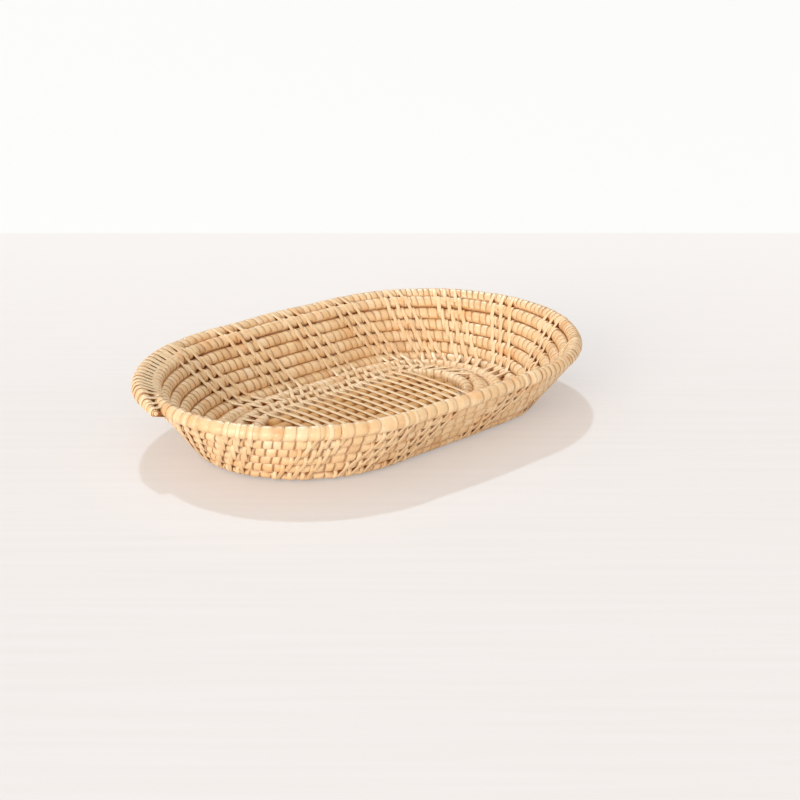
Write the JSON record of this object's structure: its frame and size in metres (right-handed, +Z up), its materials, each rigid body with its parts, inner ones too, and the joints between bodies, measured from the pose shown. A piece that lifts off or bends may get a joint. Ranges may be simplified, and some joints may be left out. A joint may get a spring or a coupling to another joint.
{
  "type": "oval rattan tray",
  "caption": "Shallow oval tray of peel-wrapped rattan rod wound in a spiral round a panel of straight rods, stitched in groups from floor to rim, open at the top.",
  "frame": {"origin": "under the middle of the tray's overall length and width, on the surface it stands on", "axes": "+X along the tray's length toward the right-hand end in the picture, +Y across it toward the far side, +Z up"},
  "size_m": [0.298, 0.1954, 0.0462],
  "materials": {
    "wrapped_coil": "satin peel strip wound round rattan rod, pale straw with honey stains",
    "panel_rod": "rattan rod, straw to olive brown, partly wrapped",
    "binding_peel": "flat rattan peel, pale cream, slightly glossy",
    "stitch_peel": "flat rattan peel, pale straw, slightly glossy",
    "rod_end": "cut end of the rattan rod, brown"
  },
  "bodies": {
    "root": {"panel_rod_1": "panel_rod", "panel_rod_2": "panel_rod", "panel_rod_3": "panel_rod", "panel_rod_4": "panel_rod", "panel_rod_5": "panel_rod", "panel_binding": "binding_peel", "coil_length_01": "wrapped_coil", "coil_length_02": "wrapped_coil", "coil_length_03": "wrapped_coil", "coil_length_04": "wrapped_coil", "coil_length_05": "wrapped_coil", "coil_length_06": "wrapped_coil", "coil_length_07": "wrapped_coil", "coil_length_08": "wrapped_coil", "coil_length_09": "wrapped_coil", "coil_length_10": "wrapped_coil", "tail_rod_end": "rod_end", "tail_lashing": "binding_peel", "stitch_group_01": "stitch_peel", "stitch_group_02": "stitch_peel", "stitch_group_03": "stitch_peel", "stitch_group_04": "stitch_peel", "stitch_group_05": "stitch_peel", "stitch_group_06": "stitch_peel", "stitch_group_07": "stitch_peel", "stitch_group_08": "stitch_peel", "stitch_group_09": "stitch_peel", "stitch_group_10": "stitch_peel", "stitch_group_11": "stitch_peel", "stitch_group_12": "stitch_peel", "stitch_group_13": "stitch_peel", "stitch_group_14": "stitch_peel", "stitch_group_15": "stitch_peel"}
  },
  "joints": []
}
